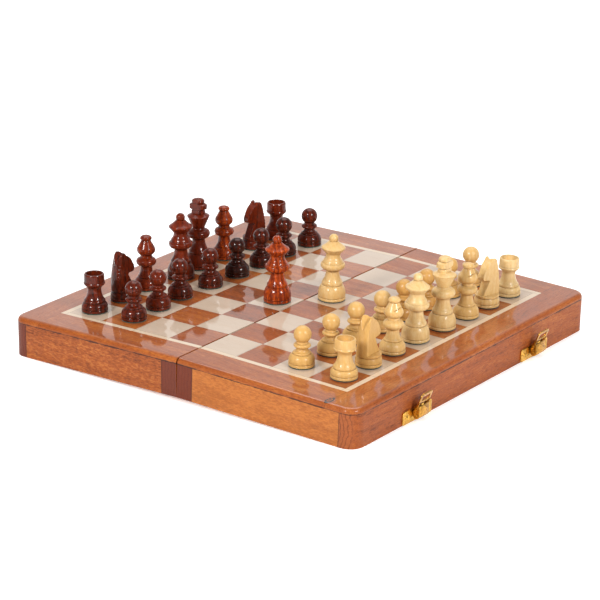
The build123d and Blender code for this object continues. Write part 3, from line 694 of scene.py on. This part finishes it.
def profileField():
    # Signed distance to the knight's side view on a grid of y and z, below zero inside.
    runs = [(7.9, 8.6), (-9.5, 8.6), (-9.5, 30.0), (-3.0, 36.6), (-1.0, 36.5), (0.9, 34.3),
            ((4.9, 31.4), (7.2, 27.4)), ((8.1, 26.0), (8.4, 24.6)), ((8.3, 22.4), (7.4, 21.2)),
            (3.0, 20.8), (2.3, 20.0), ((4.9, 14.8), (7.9, 9.3))]
    line = outlineOf((7.9, 9.3), runs, spacing=0.2, soften=1)
    a, b = line, np.roll(line, -1, axis=0)
    y, z = np.linspace(*profileGrid["y"]), np.linspace(*profileGrid["z"])
    spot = np.stack(np.meshgrid(y, z, indexing="ij"), axis=-1)[:, :, None]
    side = b - a
    reach = np.clip(((spot - a) * side).sum(-1) / np.maximum((side ** 2).sum(-1), 1e-9), 0, 1)
    gap = np.linalg.norm(spot - a - reach[..., None] * side, axis=-1).min(-1)
    level = spot[..., 1]
    crosses = (a[:, 1] > level) != (b[:, 1] > level)
    meet = a[:, 0] + (level - a[:, 1]) * side[:, 0] / np.where(side[:, 1] == 0, 1e-9, side[:, 1])
    inside = (crosses & (spot[..., 0] < meet)).sum(-1) % 2 == 1
    return y, z, np.where(inside, -gap, gap)


def fieldAt(field, y, z):
    # The distance between grid points, mixed from the four nearest.
    ys, zs, gap = field
    u = np.clip((y - ys[0]) / (ys[1] - ys[0]), 0, len(ys) - 1.001)
    v = np.clip((z - zs[0]) / (zs[1] - zs[0]), 0, len(zs) - 1.001)
    i, j = u.astype(int), v.astype(int)
    u, v = u - i, v - j
    low = gap[i, j] * (1 - u) + gap[i + 1, j] * u
    high = gap[i, j + 1] * (1 - u) + gap[i + 1, j + 1] * u
    return low * (1 - v) + high * v


def headGap(field, p, cuts):
    # How far a point is outside the carved head: the largest of the distances to each cut,
    # blended where two are alike so that the edges come out slightly rounded.
    c = carving
    x, y, z = p[..., 0], p[..., 1], p[..., 2]
    half = c["cheek"] - c["lean"] * (z - c["height"]) - c["close"] * (y + c["back"])
    cheek = (np.abs(x) - half) / np.sqrt(1 + c["lean"] ** 2 + c["close"] ** 2)
    back = np.hypot(x, np.minimum(y, 0)) - blankRadius(z)
    low = -blankRadius(c["notchLow"])
    above = -(y - low) * sin(c["notchRise"]) + (z - c["notchLow"]) * cos(c["notchRise"])
    notch = above * sin(c["notchHalf"]) - np.abs(x) * cos(c["notchHalf"])
    gaps = [cheek, back, notch, fieldAt(field, y, z), c["foot"] - z]
    for cut in range(cuts):
        height = c["cutStart"] + c["cutPitch"] * cut
        radius = blankRadius(height)
        cornerX = c["cheek"] - c["lean"] * (height - c["height"]) - c["close"] * (c["back"] - 0.8 * radius)
        cornerY = -np.sqrt(radius ** 2 - cornerX ** 2)
        out = ((np.abs(x) - cornerX) - (y - cornerY)) * c["cutSlope"]
        gaps.append(c["cutDepth"] - np.abs(z - height) - np.abs(out))
    gaps = np.stack(gaps)
    top = gaps.max(0)
    return top + c["edge"] * np.log(np.exp((gaps - top) / c["edge"]).sum(0))


def knightHead(cuts):
    # Rays from the head's middle, in rings round X, halved until they end where they leave it.
    field, c = profileField(), carving
    polar, around = np.meshgrid(np.linspace(0, pi, c["rings"] + 2)[1:-1],
                                np.linspace(0, 2 * pi, c["around"], endpoint=False), indexing="ij")
    away = np.sin(polar)
    rays = np.stack([-np.cos(polar), away * np.cos(around), away * np.sin(around)], axis=-1)
    rays = np.concatenate([rays.reshape(-1, 3), [(-1.0, 0.0, 0.0), (1.0, 0.0, 0.0)]])
    centre = np.array(c["centre"])
    near, far = np.zeros(len(rays)), np.full(len(rays), c["reach"])
    for _ in range(c["halvings"]):
        middle = (near + far) / 2
        outside = headGap(field, centre + rays * middle[:, None], cuts) > 0
        near, far = np.where(outside, near, middle), np.where(outside, middle, far)
    points = centre + rays * near[:, None]
    grid = points[:-2].reshape(c["rings"], c["around"], 3)
    shape, faces = closedTube(grid, points[-2], points[-1])
    return shape, faces, np.zeros(len(shape))


def carved(mesh, tool):
    # The mesh with a box cut out of it.
    piece, cutter = pieceOf("work", mesh), pieceOf("tool", tool)
    cut = piece.modifiers.new("cut", "BOOLEAN")
    cut.operation, cut.solver, cut.object = "DIFFERENCE", "EXACT", cutter
    result = baked(piece)
    for item in (piece, cutter):
        bpy.data.objects.remove(item)
    return result


def boxMesh(place, lean, size):
    corners = np.array([(i, j, k) for i in (-0.5, 0.5) for j in (-0.5, 0.5) for k in (-0.5, 0.5)]) * size
    faces = [(0, 1, 3, 2), (4, 6, 7, 5), (0, 4, 5, 1), (2, 3, 7, 6), (0, 2, 6, 4), (1, 5, 7, 3)]
    mesh = bpy.data.meshes.new("box")
    mesh.from_pydata(corners.tolist(), [], faces)
    mesh.transform(Matrix.Translation(place) @ Matrix.Rotation(radians(lean), 4, "Y"))
    return mesh


def manTemplate(kind, army):
    radius = footRadius[kind]
    foot = [(radius - 0.3, pad["thick"])] + footRuns(radius)
    outline = outlineOf((0, pad["thick"]), foot + bodyRuns[kind])
    parts = [turnedSurface(outline, rounds["bishop" if kind == "bishop" else "man"])]
    if kind == "king":
        parts.append(kingFinial())
    if kind == "knight":
        parts.append(knightHead(carving["cuts"] if army == "dark" else 0))
    mesh = template(kind, *parts)
    if kind == "bishop":
        mesh = carved(mesh, boxMesh(slit["place"], slit["lean"], slit["size"]))
    mesh.set_sharp_from_angle(angle=sharpTurn)
    return mesh


def padTemplate(radius):
    # A felt disc that reaches a little way into the wood above it.
    r = radius - pad["inset"]
    low, high = pad["clear"], pad["thick"] + pad["bite"]
    outline = outlineOf((0, low), [(r - 0.15, low), (r, 0.2), (r, high), (0, high)], spacing=0.15)
    return template("pad", turnedSurface(outline, rounds["pad"]))


# shade of each man, higher is darker, and how he has been turned on his square, in degrees
shades = {
    "dark_bishop_c": 0.3, "dark_bishop_f": 0.15, "dark_king_e": 0.45, "dark_knight_b": 0.6,
    "dark_knight_g": 0.45, "dark_pawn_a": 0.58, "dark_pawn_b": 0.45, "dark_pawn_c": 0.6, "dark_pawn_d": 0.6,
    "dark_pawn_e": 0.85, "dark_pawn_f": 0.7, "dark_pawn_g": 0.7, "dark_pawn_h": 0.6, "dark_queen_d": 0.35,
    "dark_rook_a": 0.58, "dark_rook_h": 0.44, "dark_spare_queen": 0.1, "light_bishop_c": 0.1,
    "light_bishop_f": 0.12, "light_king_e": 0.0, "light_knight_b": 0.45, "light_knight_g": 0.05,
    "light_pawn_a": 0.4, "light_pawn_b": 0.25, "light_pawn_c": 0.25, "light_pawn_d": 0.12,
    "light_pawn_e": 0.62, "light_pawn_f": 0.62, "light_pawn_g": 0.32, "light_pawn_h": 0.1,
    "light_queen_d": -0.05, "light_rook_a": 0.2, "light_rook_h": -0.1, "light_spare_queen": 0.05,
}
turns = {"light_king_e": 90.0, "dark_knight_b": -14.0, "light_knight_b": -8.0, "light_knight_g": -6.0,
         "dark_knight_g": -10.0}


samePlane = 2e-5


def standingPlace(node, lift):
    # The middle of the face the man stands on, and a matrix with Z along his lift.
    points = pointsOf(nodes[node].data).astype(float)
    height = points @ lift
    low = points[height < height.min() + samePlane]
    origin = (low.max(0) + low.min(0)) / 2
    across = np.cross((0.0, 1.0, 0.0), lift)
    axes = np.column_stack([across / np.linalg.norm(across), (0.0, 1.0, 0.0), lift])
    return Matrix.Translation(origin) @ Matrix(axes.tolist()).to_4x4()


def chessmen():
    shapes = {(kind, army): manTemplate(kind, army) for kind in footRadius for army in ("dark", "light")}
    pads = {kind: padTemplate(radius) for kind, radius in footRadius.items()}
    for name, joint in sorted(joints.items()):
        if not name.startswith("lift_"):
            continue
        node = joint["child"]
        army, kind = node.split("_")[:2]
        kind = "queen" if kind == "spare" else kind
        lift = np.array(joint["axis"], float)
        stand = standingPlace(node, lift / np.linalg.norm(lift))
        facing = pi if kind == "knight" and stand.translation.y > 0 else 0.0
        if army == "dark" and kind == "bishop":
            facing = pi
        spin = Matrix.Rotation(facing + radians(turns.get(node, 0.0)), 4, "Z")
        place = stand @ Matrix.Scale(mm, 4)
        wood = setIn(shapes[kind, army], materials[army + "Man"], place @ spin, shades[node])
        man = pieceOf(node + "_wood", wood)
        cloth = pieceOf(node + "_pad", setIn(pads[kind], materials["pad"], place))
        for piece, slot in ((man, army + "_men"), (cloth, "green_felt")):
            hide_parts(node)
            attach(piece, node)


chessmen()
print("chessmen done")


def dress(node, material):
    nodes[node].data.materials.clear()
    nodes[node].data.materials.append(material)


eased = {"width": 0.00016, "segments": 2, "corner": radians(35), "sharp": radians(50), "weld": 2e-6}


def easedCopy(node, body, material):
    # The node's own surface with its sharp edges rounded, as stamped brass has them.
    mesh = nodes[node].data.copy()
    piece = pieceOf(node + "_eased", mesh)
    piece.matrix_world = nodes[node].matrix_world
    weld = piece.modifiers.new("weld", "WELD")
    weld.merge_threshold = eased["weld"]
    bevel = piece.modifiers.new("bevel", "BEVEL")
    bevel.width, bevel.segments = eased["width"], eased["segments"]
    bevel.limit_method, bevel.angle_limit = "ANGLE", eased["corner"]
    result = baked(piece)
    piece.modifiers.clear()
    piece.data = result
    result.shade_smooth()
    result.set_sharp_from_angle(angle=eased["sharp"])
    result.materials.clear()
    result.materials.append(material)
    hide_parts(node)
    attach(piece, body)


boxMaterials = {
    "board_panel": "core", "dark_squares": "darkSquares", "maple_inlay": "maple", "border": "rails",
    "end_wall": "endWall", "seam_wall": "seamWall", "side_walls": "sideWalls", "felt_lining": "felt",
}
for half in ("left", "right"):
    for part, material in boxMaterials.items():
        dress(f"{half}_{part}", materials[material])
    for part in ("hinge_leaves", "hinge_screws"):
        dress(f"{part}_{half}", materials["brass"])
easedCopy("latch_bases", "right_half", materials["brass"])
easedCopy("latch_keepers", "left_half", materials["brass"])
# the levers and bails take the darker brass, which is painted shade
for node in ("latch_lever_front", "latch_lever_rear", "latch_bail_front", "latch_bail_rear"):
    easedCopy(node, node, materials["shadedBrass"])
print("box dressed")

camera = {
    "place": (1.15990, -1.64901, 0.75564),
    "right": (0.813279, 0.581620, 0.017183),
    "ahead": (-0.542728, 0.768884, -0.338028),
    "frame": 600,               # pixels across
    "pixels": 2929.58,          # focal length in those pixels
    "sensor": 36.0,
}
lamps = {
    # name: place, size, watts
    "leftKey": ((-0.15, -2.05, 1.30), (0.5, 0.5), 42),
    "rightKey": ((1.95, -0.45, 1.30), (0.5, 0.5), 38),
    "overhead": ((-0.5, 0.8, 2.2), (1.8, 1.8), 30),
}
lampAim = (0.0, 0.0, 0.03)
sky = {"behind": (-0.5, 0.75, 0.45), "dim": 0.2, "bright": 1.05, "from": 0.15, "to": 0.75,
       "low": 0.24, "high": 0.5, "top": 0.45}
floor = {"radius": 3.0, "sides": 64, "glow": 0.3}


def makeCamera():
    data = bpy.data.cameras.new("camera")
    data.sensor_width = camera["sensor"]
    data.lens = camera["sensor"] * camera["pixels"] / camera["frame"]
    data.clip_end = 50.0
    item = bpy.data.objects.new("camera", data)
    ahead, right = Vector(camera["ahead"]), Vector(camera["right"])
    up = right.cross(ahead)
    item.matrix_world = Matrix((
        (right.x, up.x, -ahead.x, camera["place"][0]), (right.y, up.y, -ahead.y, camera["place"][1]),
        (right.z, up.z, -ahead.z, camera["place"][2]), (0, 0, 0, 1)))
    scene.collection.objects.link(item)
    scene.camera = item


def softbox(name, place, size, watts):
    data = bpy.data.lights.new(name, "AREA")
    data.shape = "RECTANGLE"
    data.size, data.size_y = size
    data.energy = watts
    item = bpy.data.objects.new(name, data)
    item.location = place
    item.rotation_euler = (Vector(lampAim) - Vector(place)).to_track_quat("-Z", "Y").to_euler()
    scene.collection.objects.link(item)


def makeSky():
    # A white backdrop behind the board, dimmer above it and towards the front of the studio.
    world = bpy.data.worlds.new("studio")
    world.use_nodes = True
    make = Maker(world.node_tree)
    direction = make.add("TexCoord").outputs["Generated"]
    facing = make.vector("DOT_PRODUCT", direction, sky["behind"])
    strength = make.ease(facing, sky["from"], sky["to"], sky["dim"], sky["bright"])
    above = make.ease(make.split(direction)[2], sky["low"], sky["high"], 1.0, sky["top"])
    strength = make.math("MULTIPLY", strength, above)
    background = world.node_tree.nodes["Background"]
    make.feed(background.inputs, {"Color": (1, 1, 1, 1), "Strength": strength})
    scene.world = world


def makeStage():
    material, make, shader = newMaterial("paleFloor")
    make.feed(shader, {"Base Color": (0.95, 0.95, 0.95, 1), "Roughness": 0.9,
                       "Emission Color": (1, 1, 1, 1), "Emission Strength": floor["glow"]})
    radius, sides = floor["radius"], floor["sides"]
    angles = np.linspace(0, 2 * pi, sides, endpoint=False)
    rim = np.column_stack([radius * np.cos(angles), radius * np.sin(angles), np.zeros(sides)])
    mesh = bpy.data.meshes.new("floor")
    mesh.from_pydata(rim.tolist(), [], [list(range(sides))])
    mesh.materials.append(material)
    pieceOf("floor", mesh)
    makeSky()
    for name, (place, size, watts) in lamps.items():
        softbox(name, place, size, watts)


makeCamera()
makeStage()
scene.view_settings.view_transform = "Standard"
print("stage set")
